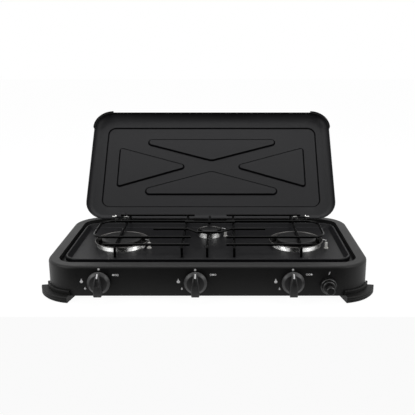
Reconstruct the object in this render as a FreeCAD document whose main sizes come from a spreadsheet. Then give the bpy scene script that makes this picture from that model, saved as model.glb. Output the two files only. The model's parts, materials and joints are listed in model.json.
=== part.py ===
"""Three-burner table-top gas stove with a hinged lid, drawn with the lid open.

Frame: X to the user's right, Y from the front panel to the back, Z up.  The origin is on the
surface that the feet stand on, under the middle of the casing.  Sizes are in millimetres.
"""
import FreeCAD, Part
import math
import os
import re
import Sketcher

doc = FreeCAD.newDocument("stove")
Vector = FreeCAD.Vector
Rotation = FreeCAD.Rotation

# Driving dimensions: name, value and what it is
DIMENSIONS = [
    ("body_width", 558, "casing, side to side"),
    ("body_depth", 310, "casing, front to back"),
    ("body_corner", 58, "plan radius of the casing corners"),
    ("rim_height", 61, "rim top above the floor"),
    ("casing_drop", 52.7, "height of the casing wall"),
    ("sheet_wall", 1, "thickness of the casing sheet"),
    ("rim_round", 5, "radius over the top edge of the casing"),
    ("rim_side", 19.5, "rim width beside the tray opening"),
    ("rim_front", 21.5, "rim width in front of the opening"),
    ("rim_back", 24.5, "rim width behind the opening"),
    ("opening_corner", 30, "corner radius of the opening"),
    ("ledge_drop", 10, "rim top down to the ledge that carries the tray"),
    ("ledge_width", 7, "width of that ledge"),
    ("flange_width", 14, "turned-in flange at the bottom of the casing"),
    ("tray_gap", 0.5, "clearance round the tray"),
    ("tray_sheet", 1, "thickness of the tray sheet"),
    ("bead_side", 7, "opening to the raised bead at the sides"),
    ("bead_end", 18.5, "opening to the raised bead at the front and back"),
    ("bead_corner", 29, "corner radius of the bead"),
    ("bead_width", 4, "width of the raised bead"),
    ("bead_height", 8, "bead above the tray floor"),
    ("bead_round", 1.8, "rounding of the bead"),
    ("tray_slope", 5, "width of the slope inside the bead"),
    ("burner_inset", 114, "side burner centres from the casing sides"),
    ("side_burner_y", -7, "side burner centres, front to back"),
    ("centre_burner_y", 50, "centre burner, front to back"),
    ("side_cup_radius", 50.6, "steel cup of a side burner"),
    ("centre_cup_radius", 24.8, "steel cup of the centre burner"),
    ("side_cup_waist", 45.5, "waist of a side cup under its lip"),
    ("centre_cup_waist", 20.8, "waist of the centre cup under its lip"),
    ("cup_foot", 2, "foot of a cup outside its waist"),
    ("cup_lip", 3.2, "height of the lip that turns out at a cup's top"),
    ("side_cup_height", 9.4, "side cup above the tray floor"),
    ("centre_cup_height", 11, "centre cup above the tray floor"),
    ("cup_wall", 0.8, "thickness of the cup"),
    ("side_head_radius", 37, "burner head, side"),
    ("centre_head_radius", 17, "burner head, centre"),
    ("side_neck_radius", 15.7, "neck of a side head"),
    ("centre_neck_radius", 8.7, "neck of the centre head"),
    ("neck_clearance", 0.3, "clearance round a neck"),
    ("neck_drop", 7, "neck below the tray floor"),
    ("head_wall", 2.2, "wall of the burner head"),
    ("head_step", 3.6, "height of the flare of the head"),
    ("head_height", 9.6, "head above the cup floor"),
    ("side_slots", 30, "flame slots round a side head"),
    ("centre_slots", 16, "flame slots round the centre head"),
    ("slot_width", 2.2, "flame slot"),
    ("slot_depth", 3, "depth of the flame slot"),
    ("cap_overhang", 0.5, "cap beyond the edge of the head"),
    ("cap_height", 4, "thickness of the burner cap"),
    ("cap_skirt", 1.8, "locating ring under the cap"),
    ("pot_radius", 28, "mixing pot under the tray"),
    ("pot_gap", 0.3, "mixing pot below the tray"),
    ("pot_height", 26, "height of the mixing pot"),
    ("pot_wall", 1.5, "wall of the pot"),
    ("tube_radius", 7.5, "mixing tube"),
    ("tube_bore", 6, "bore radius of the mixing tube"),
    ("tube_start", 46, "front end of the tube behind the panel face"),
    ("tap_shift_left", 17, "left tap to the left of its burner"),
    ("tap_shift_centre", 19, "centre tap to the left of its burner"),
    ("tap_shift_right", 20, "right tap to the left of its burner"),
    ("spindle_height", 33.5, "spindle axis above the floor"),
    ("tap_radius", 10, "tap body"),
    ("tap_length", 37, "tap body behind the panel face"),
    ("neck_radius", 5, "threaded neck of the tap"),
    ("neck_out", 2.6, "neck in front of the panel"),
    ("plug_radius", 4, "turning plug in the tap"),
    ("plug_bore", 4.05, "bore for the plug"),
    ("plug_front", 15, "plug front face behind the panel face"),
    ("plug_length", 16.7, "length of the plug"),
    ("plug_end_gap", 0.3, "gap behind the plug"),
    ("outlet_radius", 1.5, "gas outlet of the tap"),
    ("collar_radius", 3.9, "retaining collar of the spindle"),
    ("collar_front", 8.3, "collar front behind the panel face"),
    ("collar_gap", 0.3, "play in front of the collar"),
    ("collar_length", 3.2, "collar length"),
    ("shaft_radius", 3, "spindle shaft"),
    ("shaft_clearance", 0.06, "running clearance of the shaft"),
    ("shaft_out", 17, "spindle in front of the panel"),
    ("shaft_flat", 0.8, "depth of the flat on the shaft"),
    ("flat_length", 13, "length of the flat"),
    ("tongue_length", 9, "driving tongue of the spindle"),
    ("tongue_thick", 2, "driving tongue thickness"),
    ("tongue_width", 6, "driving tongue width"),
    ("tongue_clearance", 0.1, "play between tongue and slot"),
    ("slot_length", 9.5, "slot in the plug"),
    ("nut_radius", 8.5, "panel nut"),
    ("nut_height", 2.4, "panel nut"),
    ("saddle_width", 18, "saddle of the tap on the pipe"),
    ("manifold_drop", 16, "pipe axis below the spindle axis"),
    ("manifold_setback", 24, "pipe axis behind the panel face"),
    ("manifold_radius", 5, "supply pipe"),
    ("manifold_bore", 3.8, "bore of the supply pipe"),
    ("manifold_end", 15, "pipe past the right tap"),
    ("inlet_shift", 212, "gas inlet to the left of the middle"),
    ("elbow_radius", 18, "bend of the supply pipe"),
    ("inlet_radius", 4, "gas inlet stub"),
    ("inlet_neck", 5, "neck of the inlet in the back wall"),
    ("inlet_bore", 3, "bore of the inlet stub"),
    ("inlet_out", 25, "stub behind the casing"),
    ("inlet_collar", 6.5, "collar radius inside the back wall"),
    ("inlet_collar_length", 9, "collar length inside the back wall"),
    ("injector_radius", 5, "injector"),
    ("injector_length", 7, "body of the injector"),
    ("injector_tip", 2.6, "tip of the injector"),
    ("injector_reach", 6, "tip length of the injector"),
    ("jet_radius", 0.5, "injector bore"),
    ("knob_radius", 19.5, "control knob"),
    ("knob_gap", 4, "knob off the panel face"),
    ("knob_skirt", 7, "skirt thickness of the knob"),
    ("knob_depth", 18, "knob front to back"),
    ("grip_width", 13.5, "grip bar of the knob"),
    ("grip_over", 0.4, "grip beyond the skirt"),
    ("grip_round", 3.5, "rounding of the grip"),
    ("skirt_round", 2.4, "rounding of the skirt"),
    ("knob_recess", 11, "recess radius behind the knob"),
    ("knob_recess_depth", 4, "recess depth behind the knob"),
    ("knob_fit", 0.02, "fit of the knob on its shaft"),
    ("igniter_inset", 74, "igniter from the right side of the casing"),
    ("igniter_height", 27.5, "igniter axis above the floor"),
    ("igniter_radius", 9, "igniter barrel"),
    ("igniter_length", 45, "igniter behind the panel face"),
    ("igniter_neck", 8, "threaded neck of the igniter"),
    ("igniter_collar_radius", 13.6, "ring nut of the igniter"),
    ("igniter_collar_height", 8, "ring nut in front of the panel"),
    ("igniter_step_radius", 10.6, "second step of the ring nut"),
    ("igniter_step_height", 13, "second step in front of the panel"),
    ("button_radius", 7.2, "push button"),
    ("button_front", 29, "button face in front of the panel"),
    ("button_head", 7, "length of the button head"),
    ("plunger_radius", 5, "plunger of the button"),
    ("plunger_clearance", 0.06, "running clearance of the plunger"),
    ("plunger_back", 22, "plunger behind the panel face"),
    ("igniter_bore_back", 32, "bore depth behind the panel face"),
    ("side_electrode_x", 54, "electrode right of a side burner"),
    ("side_electrode_y", -25, "electrode in front of a side burner centre"),
    ("centre_electrode_x", 31, "electrode right of the centre burner"),
    ("centre_electrode_y", -8, "electrode in front of the centre burner"),
    ("ceramic_radius", 2.5, "electrode insulator"),
    ("ceramic_height", 12, "insulator above the tray floor"),
    ("ceramic_drop", 4, "insulator below the tray floor"),
    ("ceramic_collar", 4, "insulator collar radius"),
    ("ceramic_collar_height", 1.5, "insulator collar"),
    ("tip_radius", 0.8, "electrode wire"),
    ("tip_height", 4, "wire above the insulator"),
    ("tip_reach", 7, "wire towards the burner"),
    ("lead_radius", 1.3, "ignition lead"),
    ("lead_spread", 4, "leads side by side at the igniter"),
    ("lead_run", 15, "lead behind the igniter before it turns up"),
    ("lead_height", 44.2, "leads under the tray, above the floor"),
    ("lead_bend", 3, "bend radius of a lead"),
    ("support_height", 13, "wire axis of the pan support above the rim"),
    ("wire_radius", 2.1, "pan support wire"),
    ("wire_outer", 187, "outer end of the long wires"),
    ("wire_inner", 33, "inner end of the long wires"),
    ("wire_front_y", -77.5, "front wire"),
    ("wire_back_y", 119, "back wire"),
    ("leg_outset", 3, "legs outside the front and back wires"),
    ("leg_outer", 167, "outer legs from the middle"),
    ("leg_inner", 47, "inner legs from the middle"),
    ("leg_bend", 3, "bend radius of a leg"),
    ("loop_outer", 216, "outer end of the side loops"),
    ("loop_front_y", -33, "front arm of the side loops"),
    ("loop_back_y", 74, "back arm of the side loops"),
    ("loop_bend", 24, "bend radius of the side loops"),
    ("jog_y", 19, "thin wire beside the centre burner"),
    ("jog_front_y", -2.5, "thin wire in front of the centre burner"),
    ("jog_half", 108, "half length of the thin wire"),
    ("jog_flat", 22, "half length of its middle run"),
    ("jog_ramp", 40, "where the middle run has come back"),
    ("finger_shift", -1.5, "centre fingers from the middle"),
    ("bridge_y", 68, "short wire behind the centre burner"),
    ("bridge_half", 50, "half length of the short wire"),
    ("leg_clearance", 0.05, "leg ends above what they stand on"),
    ("cross_drop", 3.4, "cross wires below the long wires"),
    ("hinge_height", 5.6, "hinge axis above the rim"),
    ("hinge_setback", 21.3, "hinge axis in front of the casing back"),
    ("hinge_x", 191, "hinge from the middle"),
    ("lid_open", 131.4, "opening angle of the lid"),
    ("lid_width", 531.6, "lid, side to side"),
    ("lid_front", 263.6, "lid from the hinge axis to its free edge"),
    ("lid_rear", 5, "lid behind the hinge axis"),
    ("lid_corner", 40, "plan radius of the lid corners"),
    ("lid_depth", 16, "depth of the lid border"),
    ("lid_round", 15.5, "rounding of the lid border"),
    ("lid_below", 4, "lid edge below the hinge axis"),
    ("lid_sheet", 0.9, "thickness of the lid sheet"),
    ("lid_rear_edge", 1, "rear lid edge below the hinge axis"),
    ("notch_width", 24, "notch in the rear edge at a hinge"),
    ("notch_height", 7, "notch above the hinge axis"),
    ("panel_side", 30.8, "lid border beside the raised panel"),
    ("panel_front", 33.3, "lid border at the free edge"),
    ("panel_rear", 34.5, "lid border at the hinge"),
    ("panel_step", 1.2, "step of the raised panel"),
    ("panel_corner", 17, "corner radius of the raised panel"),
    ("rib_step", 1.6, "depth of the pressed triangles"),
    ("rib_round", 7, "corner radius of the triangles"),
    ("long_rib_half", 188, "half length of the long triangles"),
    ("long_rib_top", 200, "base line of the front triangle from the hinge axis"),
    ("long_rib_tip", 144.5, "tip of the front triangle"),
    ("rear_rib_tip", 117.5, "tip of the rear triangle"),
    ("rear_rib_base", 59.5, "base line of the rear triangle"),
    ("side_rib_out", 205.7, "base line of the side triangles from the middle"),
    ("side_rib_tip", 47.6, "tip of the side triangles"),
    ("side_rib_top", 178, "front corner of the side triangles"),
    ("side_rib_bottom", 78.2, "rear corner of the side triangles"),
    ("lid_cap_over", 2.2, "corner cap beyond the lid"),
    ("lid_cap_rise", 7, "corner cap above the lid edge"),
    ("lid_cap_under", 1.5, "corner cap under the lid edge"),
    ("lid_cap_inside", 3.5, "corner cap inside the lid edge"),
    ("lid_cap_fit", 0.02, "fit of the corner cap"),
    ("knuckle_radius", 3, "lid knuckle"),
    ("knuckle_length", 15.6, "lid knuckle"),
    ("leaf_length", 16, "hinge leaf along the lid"),
    ("leaf_thick", 1.2, "hinge leaf"),
    ("leaf_gap", 0.05, "leaf under the lid sheet"),
    ("pin_radius", 1.5, "hinge pin"),
    ("pin_length", 34, "hinge pin"),
    ("pin_clearance", 0.06, "running clearance of the pin"),
    ("ear_gap", 0.4, "play between knuckle and ear"),
    ("ear_thick", 1.6, "hinge ear"),
    ("ear_radius", 3.9, "hinge ear round the axis"),
    ("bracket_drop", 8, "bracket below the rim, in the groove"),
    ("bracket_thick", 1.2, "bracket plate"),
    ("foot_out", 15, "foot beyond the casing"),
    ("foot_in", 20, "foot under the casing"),
    ("foot_fit", 0.3, "foot clear of the wall"),
    ("foot_band", 11.2, "height of the outer band of a foot"),
    ("foot_lip", 3.7, "thickness of the foot lip"),
    ("foot_lip_height", 18, "height of the foot lip"),
    ("foot_angle", 67, "angle that a foot goes round its corner"),
    ("groove_depth", 0.8, "grooves round a foot"),
    ("groove_width", 1, "grooves round a foot"),
    ("groove_low", 3.6, "lower groove above the floor"),
    ("groove_high", 7.2, "upper groove above the floor"),
    ("screw_inset", 8, "foot screw inside the corner arc"),
    ("screw_radius", 2, "foot screw"),
    ("screw_head", 4, "head radius of a foot screw"),
    ("screw_head_height", 2.4, "head of a foot screw"),
    ("screw_seat", 5, "underside of the screw head seat above the floor"),
    ("screw_length", 9, "foot screw above its head"),
    ("hole_clearance", 0.1, "clearance of the holes for necks and screws"),
]

sheet = doc.addObject("Spreadsheet::Sheet", "dims")
for row, (alias, number, meaning) in enumerate(DIMENSIONS, start=1):
    sheet.set(f"A{row}", meaning)
    sheet.set(f"B{row}", str(number))
    sheet.setAlias(f"B{row}", alias)
doc.recompute()

NAMES = re.compile(r"\b[a-z]+(?:_[a-z]+)+\b")
finished = []


def linked(expression):
    """The expression with every dimension looked up in the sheet."""
    return NAMES.sub(lambda match: "dims." + match.group(0), str(expression))


def value(expression):
    """The present value of an expression of dimensions."""
    return float(sheet.evalExpression(str(expression)))


def bind(item, prop, expression):
    item.setExpression(prop, linked(expression))


def place(item, x=0, y=0, z=0, turn=None):
    """Put an object at x, y, z, all expressions, after an optional turn (axis, degrees)."""
    if turn is not None:
        item.Placement = FreeCAD.Placement(Vector(), Rotation(turn[0], value(turn[1])))
        if not isinstance(turn[1], (int, float)):
            bind(item, "Placement.Rotation.Angle", turn[1])
    for letter, expression in zip("xyz", (x, y, z)):
        bind(item, f"Placement.Base.{letter}", expression)
    return item


def finish(item, name):
    """Give the finished sub-part its name."""
    item.Label = name
    finished.append(item)
    return item


def edges_where(shape, test):
    return [f"Edge{index}" for index, edge in enumerate(shape.Edges, start=1) if test(edge)]


def is_vertical(edge):
    return isinstance(edge.Curve, Part.Line) and abs(edge.tangentAt(edge.FirstParameter).z) > 0.999


def at_level(level):
    return lambda edge: abs(edge.BoundBox.ZMin - level) < 1e-4 and abs(edge.BoundBox.ZMax - level) < 1e-4


def dress(body, kind, size, test):
    """Round or bevel the edges of a body that pass a test."""
    doc.recompute()
    base = body.Tip
    feature = body.newObject("PartDesign::" + kind, kind)
    feature.Base = (base, edges_where(base.Shape, test))
    bind(feature, "Radius" if kind == "Fillet" else "Size", size)
    doc.recompute()
    return feature


def block(wide, deep, tall, corner=None, top=None, bottom=None):
    """A box centred on the Z axis from Z = 0 up, its upright edges rounded, then top and bottom."""
    body = doc.addObject("PartDesign::Body", "block")
    box = body.newObject("PartDesign::AdditiveBox", "box")
    bind(box, "Length", wide)
    bind(box, "Width", deep)
    bind(box, "Height", tall)
    place(box, x=f"-({wide})/2", y=f"-({deep})/2")
    if corner is not None:
        dress(body, "Fillet", corner, is_vertical)
    if top is not None:
        dress(body, "Fillet", top, at_level(value(tall)))
    if bottom is not None:
        bevel = dress(body, "Chamfer", bottom[0], at_level(0))
        bevel.ChamferType = "Two distances"
        bind(bevel, "Size2", bottom[1])
        doc.recompute()
    return body


def outline(body, plane, points):
    """A closed sketch through points whose coordinates are expressions."""
    sketch = body.newObject("Sketcher::SketchObject", "outline")
    support = next(item for item in body.Origin.OriginFeatures if item.Role == plane)
    sketch.AttachmentSupport = (support, [""])
    sketch.MapMode = "FlatFace"
    corners = [Vector(value(x), value(y), 0) for x, y in points]
    for start, end in zip(corners, corners[1:] + corners[:1]):
        sketch.addGeometry(Part.LineSegment(start, end), False)
    for index, (x, y) in enumerate(points):
        sketch.addConstraint(Sketcher.Constraint("Coincident", index, 1, (index - 1) % len(points), 2))
        across = sketch.addConstraint(Sketcher.Constraint("DistanceX", -1, 1, index, 1, corners[index].x))
        up = sketch.addConstraint(Sketcher.Constraint("DistanceY", -1, 1, index, 1, corners[index].y))
        bind(sketch, f"Constraints[{across}]", x)
        bind(sketch, f"Constraints[{up}]", y)
    return sketch


def turned(points, angle=360):
    """A solid of revolution round Z from (radius, height) points."""
    body = doc.addObject("PartDesign::Body", "turned")
    sketch = outline(body, "XZ_Plane", points)
    spin = body.newObject("PartDesign::Revolution", "spin")
    spin.Profile = sketch
    spin.ReferenceAxis = (sketch, ["V_Axis"])
    bind(spin, "Angle", angle)
    if angle != 360:
        spin.Midplane = True
    body.Tip = spin
    doc.recompute()
    return body


def pulled(points, length, plane="YZ_Plane", both=True):
    """A prism from points in a plane, pulled to both sides of it or to one."""
    body = doc.addObject("PartDesign::Body", "pulled")
    pad = body.newObject("PartDesign::Pad", "pull")
    pad.Profile = outline(body, plane, points)
    bind(pad, "Length", length)
    pad.Midplane = both
    body.Tip = pad
    doc.recompute()
    return body


def cylinder(radius, height, x=0, y=0, z=0, turn=None, angle=360):
    item = doc.addObject("Part::Cylinder", "cylinder")
    bind(item, "Radius", radius)
    bind(item, "Height", height)
    bind(item, "Angle", angle)
    return place(item, x, y, z, turn)


def cut(base, *tools):
    """The base less every tool."""
    for tool in tools:
        step = doc.addObject("Part::Cut", "cut")
        step.Base = base
        step.Tool = tool
        base = step
    doc.recompute()
    return base


def fuse(*items):
    step = doc.addObject("Part::MultiFuse", "fuse")
    step.Shapes = list(items)
    doc.recompute()
    return step


def rod(points, bend, radius):
    """Round wire along straight runs joined by arcs of one bend radius."""
    points = [Vector(*point) for point in points]
    edges = []
    start = points[0]
    for before, corner, after in zip(points, points[1:], points[2:]):
        inward = (before - corner).normalize()
        outward = (after - corner).normalize()
        half_turn = inward.getAngle(outward) / 2
        first = corner + inward * (bend / math.tan(half_turn))
        last = corner + outward * (bend / math.tan(half_turn))
        bisector = (inward + outward).normalize()
        middle = corner + bisector * (bend / math.sin(half_turn) - bend)
        edges.append(Part.LineSegment(start, first).toShape())
        edges.append(Part.Arc(first, middle, last).toShape())
        start = last
    edges.append(Part.LineSegment(start, points[-1]).toShape())
    section = Part.Wire(Part.makeCircle(radius, points[0], points[1] - points[0]))
    return Part.Wire(edges).makePipeShell([section], True, False)


def solid_from(shape, name):
    """A sub-part from a shape made with the sheet's values."""
    item = doc.addObject("Part::Feature", "solid")
    item.Shape = shape
    return finish(item, name)


TO_FRONT = (Vector(1, 0, 0), 90)
ALONG_X = (Vector(0, 1, 0), 90)
SIDES = {"left": -1, "right": 1}
BURNERS = {"left": "(burner_inset - body_width/2)", "centre": "0",
           "right": "(body_width/2 - burner_inset)"}

panel_y = "-body_depth/2"
casing_bottom = "rim_height - casing_drop"
ledge_top = "(rim_height - ledge_drop)"
tray_floor = f"({ledge_top} + tray_sheet)"
opening_wide = "(body_width - 2*rim_side)"
opening_deep = "(body_depth - rim_front - rim_back)"
opening_y = "(rim_front - rim_back)/2"
corner_x = "(body_width/2 - body_corner)"
corner_y = "(body_depth/2 - body_corner)"
igniter_x = "(body_width/2 - igniter_inset)"


def tap_x(burner):
    return f"({BURNERS[burner]} - tap_shift_{burner})"


def burner_y(burner):
    return "centre_burner_y" if burner == "centre" else "side_burner_y"


def size_of(burner, part):
    """The dimension of a burner part, which differs between side and centre."""
    return ("centre_" if burner == "centre" else "side_") + part


def electrode_place(burner):
    return (f"({BURNERS[burner]} + {size_of(burner, 'electrode_x')})",
            f"({burner_y(burner)} + {size_of(burner, 'electrode_y')})")


# Casing: a drawn steel shell with a lipped opening, a ledge for the tray and a bottom flange
shell = cut(place(block("body_width", "body_depth", "casing_drop", "body_corner", "rim_round"),
                  z=casing_bottom),
            place(block("body_width - 2*sheet_wall", "body_depth - 2*sheet_wall",
                        "casing_drop - sheet_wall", "body_corner - sheet_wall",
                        "rim_round - sheet_wall"), z=casing_bottom))
lip = place(block(f"{opening_wide} + 2*sheet_wall", f"{opening_deep} + 2*sheet_wall",
                  "ledge_drop + sheet_wall/2", "opening_corner + sheet_wall"),
            y=opening_y, z=f"{ledge_top} - sheet_wall")
bottom_flange = cut(
    place(block("body_width", "body_depth", "sheet_wall", "body_corner"), z=casing_bottom),
    place(block("body_width - 2*flange_width", "body_depth - 2*flange_width", "3*sheet_wall",
                "body_corner - flange_width"), z=f"{casing_bottom} - sheet_wall"))
opening = place(block(opening_wide, opening_deep, "2*ledge_drop", "opening_corner"),
                y=opening_y, z=ledge_top)
ledge_opening = place(block(f"{opening_wide} - 2*ledge_width", f"{opening_deep} - 2*ledge_width",
                            "ledge_drop", "opening_corner - ledge_width"),
                      y=opening_y, z=f"{ledge_top} - ledge_drop/2")


def panel_hole(radius, x, z):
    return cylinder(f"{radius} + hole_clearance", "4*sheet_wall", x,
                    f"{panel_y} + 2*sheet_wall", z, TO_FRONT)


holes = [panel_hole("neck_radius", tap_x(burner), "spindle_height") for burner in BURNERS]
holes.append(panel_hole("igniter_neck", igniter_x, "igniter_height"))
holes.append(cylinder("inlet_neck + hole_clearance", "4*sheet_wall", "-inlet_shift",
                      "body_depth/2 + 2*sheet_wall", "spindle_height - manifold_drop", TO_FRONT))
screw_reach = "(body_corner - screw_inset)*sqrt(0.5)"
CORNERS = {"front_left": (-1, -1, 225), "front_right": (1, -1, 315),
           "back_right": (1, 1, 45), "back_left": (-1, 1, 135)}
for across, along, heading in CORNERS.values():
    holes.append(cylinder("screw_radius + hole_clearance", "4*sheet_wall",
                          f"{across}*({corner_x} + {screw_reach})",
                          f"{along}*({corner_y} + {screw_reach})", f"{casing_bottom} - sheet_wall"))
finish(cut(fuse(shell, lip, bottom_flange), opening, ledge_opening, *holes), "casing")

# Hob tray: flat floor, slope up to a raised bead, and a flange that lies on the ledge
bead_wide = f"({opening_wide} - 2*bead_side)"
bead_deep = f"({opening_deep} - 2*bead_end)"


def bead_block(inset, tall, level, **edges):
    """A block whose sides are set in from the outside of the bead."""
    solid = block(f"{bead_wide} - 2*({inset})", f"{bead_deep} - 2*({inset})", tall,
                  f"bead_corner - ({inset})", **edges)
    return place(solid, y=opening_y, z=level)


flange = place(block(f"{opening_wide} - 2*tray_gap", f"{opening_deep} - 2*tray_gap", "tray_sheet",
                     "opening_corner - tray_gap"), y=opening_y, z=ledge_top)
raised_part = bead_block("0", "bead_height + tray_sheet", ledge_top, top="bead_round")
hollow = cut(bead_block("tray_sheet", "bead_height - tray_sheet/2", ledge_top),
             bead_block("bead_width - tray_sheet", "3*bead_height", ledge_top,
                        bottom=("bead_height", "tray_slope")))
dish = bead_block("bead_width", "2*bead_height", tray_floor, bottom=("bead_height", "tray_slope"))
tray_holes = []
for burner in BURNERS:
    tray_holes.append(cylinder(f"{size_of(burner, 'neck_radius')} + neck_clearance", "4*tray_sheet",
                               BURNERS[burner], burner_y(burner), f"{tray_floor} - 2*tray_sheet"))
    tray_holes.append(cylinder("ceramic_radius + hole_clearance", "4*tray_sheet",
                               *electrode_place(burner), f"{tray_floor} - 2*tray_sheet"))
finish(cut(fuse(flange, raised_part), dish, hollow, *tray_holes), "hob_tray")

# Feet: rubber corner bumpers with two grooves, a lip up the wall and a pad under the flange
foot_edge = "(body_corner + foot_out)"
foot_points = [
    ("body_corner - foot_in", "0"),
    (f"{foot_edge} - 2*groove_depth", "0"),
    (foot_edge, "2*groove_depth"),
    (foot_edge, "groove_low"),
    (f"{foot_edge} - groove_depth", "groove_low + groove_width/2"),
    (foot_edge, "groove_low + groove_width"),
    (foot_edge, "groove_high"),
    (f"{foot_edge} - groove_depth", "groove_high + groove_width/2"),
    (foot_edge, "groove_high + groove_width"),
    (foot_edge, "foot_band - groove_depth"),
    (f"{foot_edge} - groove_depth", "foot_band"),
    ("body_corner + foot_fit + foot_lip", "foot_band"),
    ("body_corner + foot_fit + foot_lip", "foot_lip_height - groove_depth"),
    ("body_corner + foot_fit + foot_lip - groove_depth", "foot_lip_height"),
    ("body_corner + foot_fit", "foot_lip_height"),
    ("body_corner + foot_fit", casing_bottom),
    ("body_corner - foot_in", casing_bottom),
]
screw_points = [
    ("0", "screw_seat - screw_head_height"),
    ("screw_head", "screw_seat - screw_head_height"),
    ("screw_head", "screw_seat"),
    ("screw_radius", "screw_seat"),
    ("screw_radius", "screw_seat + screw_length"),
    ("0", "screw_seat + screw_length"),
]
screws = []
for corner, (across, along, heading) in CORNERS.items():
    pad = turned(foot_points, "foot_angle")
    place(pad, f"{across}*{corner_x}", f"{along}*{corner_y}", 0, (Vector(0, 0, 1), heading))
    seat_x = f"{across}*({corner_x} + {screw_reach})"
    seat_y = f"{along}*({corner_y} + {screw_reach})"
    finish(cut(pad, cylinder("screw_head + hole_clearance", "screw_seat", seat_x, seat_y, 0),
               cylinder("screw_radius + hole_clearance", "rim_height", seat_x, seat_y, 0)),
           "foot_" + corner)
    screws.append(place(turned(screw_points), seat_x, seat_y, 0))
finish(fuse(*screws), "foot_screws")

# Burners: cup, head with flame slots, cap, and the mixing pot and tube under the tray
cup_floor = f"({tray_floor} + cup_wall)"
for burner in BURNERS:
    radius = size_of(burner, "cup_radius")
    waist = size_of(burner, "cup_waist")
    neck = size_of(burner, "neck_radius")
    head = size_of(burner, "head_radius")
    top = f"({tray_floor} + {size_of(burner, 'cup_height')})"
    here = (BURNERS[burner], burner_y(burner))
    cup = turned([
        (f"{neck} + neck_clearance", tray_floor),
        (f"{waist} + cup_foot", tray_floor),
        (waist, f"{top} - cup_lip"),
        (radius, f"{top} - cup_wall"),
        (radius, top),
        (f"{radius} - cup_wall", top),
        (f"{waist} - cup_wall", f"{top} - cup_lip"),
        (f"{waist} + cup_foot - 2*cup_wall", cup_floor),
        (f"{neck} + neck_clearance", cup_floor),
    ])
    finish(place(cup, *here), "burner_cup_" + burner)

    bore = f"({neck} - head_wall)"
    head_top = f"({cup_floor} + head_height)"
    crown = turned([
        (bore, f"{tray_floor} - neck_drop"),
        (neck, f"{tray_floor} - neck_drop"),
        (neck, cup_floor),
        (f"{head} - head_step", cup_floor),
        (head, f"{cup_floor} + head_step"),
        (head, head_top),
        (f"{head} - head_wall", head_top),
        (f"{head} - head_wall", f"{cup_floor} + head_step"),
        (f"{head} - head_wall - head_step/2", f"{cup_floor} + head_wall"),
        (bore, f"{cup_floor} + head_wall"),
    ])
    count = round(value(size_of(burner, "slots")))
    slots = []
    for index in range(count // 2):
        slot = block(f"3*{head}", "slot_width", "2*slot_depth")
        slots.append(place(slot, z=f"{head_top} - slot_depth",
                           turn=(Vector(0, 0, 1), 360 * index / count)))
    finish(place(cut(crown, fuse(*slots)), *here), "burner_head_" + burner)

    cap_edge = f"({head} + cap_overhang)"
    ring = f"({head} - head_wall - neck_clearance)"
    cap = turned([
        ("0", head_top),
        (f"{ring} - head_wall", head_top),
        (f"{ring} - head_wall", f"{head_top} - cap_skirt"),
        (ring, f"{head_top} - cap_skirt"),
        (ring, head_top),
        (cap_edge, head_top),
        (cap_edge, f"{head_top} + cap_height/3"),
        (f"{cap_edge} - cap_height/3", f"{head_top} + 0.75*cap_height"),
        (f"{cap_edge} - 2*cap_height", f"{head_top} + cap_height"),
        ("0", f"{head_top} + cap_height"),
    ])
    finish(place(cap, *here), "burner_cap_" + burner)

    pot_top = f"({ledge_top} - pot_gap)"
    pot_base = f"({pot_top} - pot_height)"
    pot = cylinder("pot_radius", "pot_height", *here, pot_base)
    tube_y = f"({panel_y} + tube_start)"
    tube_length = f"({burner_y(burner)} - {tube_y})"
    tube = cylinder("tube_radius", tube_length, tap_x(burner), burner_y(burner), "spindle_height",
                    TO_FRONT)
    pot_room = cylinder("pot_radius - pot_wall", "pot_height - 2*pot_wall", *here,
                        f"{pot_base} + pot_wall")
    tube_room = cylinder("tube_bore", f"{tube_length} + tube_radius", tap_x(burner),
                         burner_y(burner), "spindle_height", TO_FRONT)
    neck_room = cylinder(f"{neck} + neck_clearance", "pot_height/2", *here, f"{pot_top} - pot_height/4")
    finish(cut(fuse(pot, tube), pot_room, tube_room, neck_room), "mixing_tube_" + burner)

# Gas taps: body with its saddle on the supply pipe, injector, turning plug, spindle and knob
pipe_height = "(spindle_height - manifold_drop)"
pipe_y = f"({panel_y} + manifold_setback)"
bore_front = "-(collar_front - collar_gap)"
bore_back = "-(plug_front + plug_length + plug_end_gap)"
tap_points = [
    ("shaft_radius + shaft_clearance", "neck_out"),
    ("neck_radius", "neck_out"),
    ("neck_radius", "-sheet_wall"),
    ("tap_radius", "-sheet_wall"),
    ("tap_radius", "-tap_length"),
    ("outlet_radius", "-tap_length"),
    ("outlet_radius", bore_back),
    ("plug_bore", bore_back),
    ("plug_bore", bore_front),
    ("shaft_radius + shaft_clearance", bore_front),
]
injector_end = "-(tap_length + injector_length)"
injector_points = [
    ("jet_radius", "-tap_length"),
    ("injector_radius", "-tap_length"),
    ("injector_radius", injector_end),
    ("injector_tip", injector_end),
    ("injector_tip", f"{injector_end} - injector_reach"),
    ("jet_radius", f"{injector_end} - injector_reach"),
]
collar_back = "-(collar_front + collar_length)"
spindle_points = [
    ("0", collar_back),
    ("collar_radius", collar_back),
    ("collar_radius", "-collar_front"),
    ("shaft_radius", "-collar_front"),
    ("shaft_radius", "shaft_out"),
    ("0", "shaft_out"),
]
knob_front = "(knob_gap + knob_depth)"
knob_points = [
    ("0", "knob_gap + knob_recess_depth"),
    ("knob_recess", "knob_gap + knob_recess_depth"),
    ("knob_recess", "knob_gap"),
    ("knob_radius", "knob_gap"),
    ("knob_radius", "knob_gap + knob_skirt"),
    ("0", "knob_gap + knob_skirt"),
]
nuts = []
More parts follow.
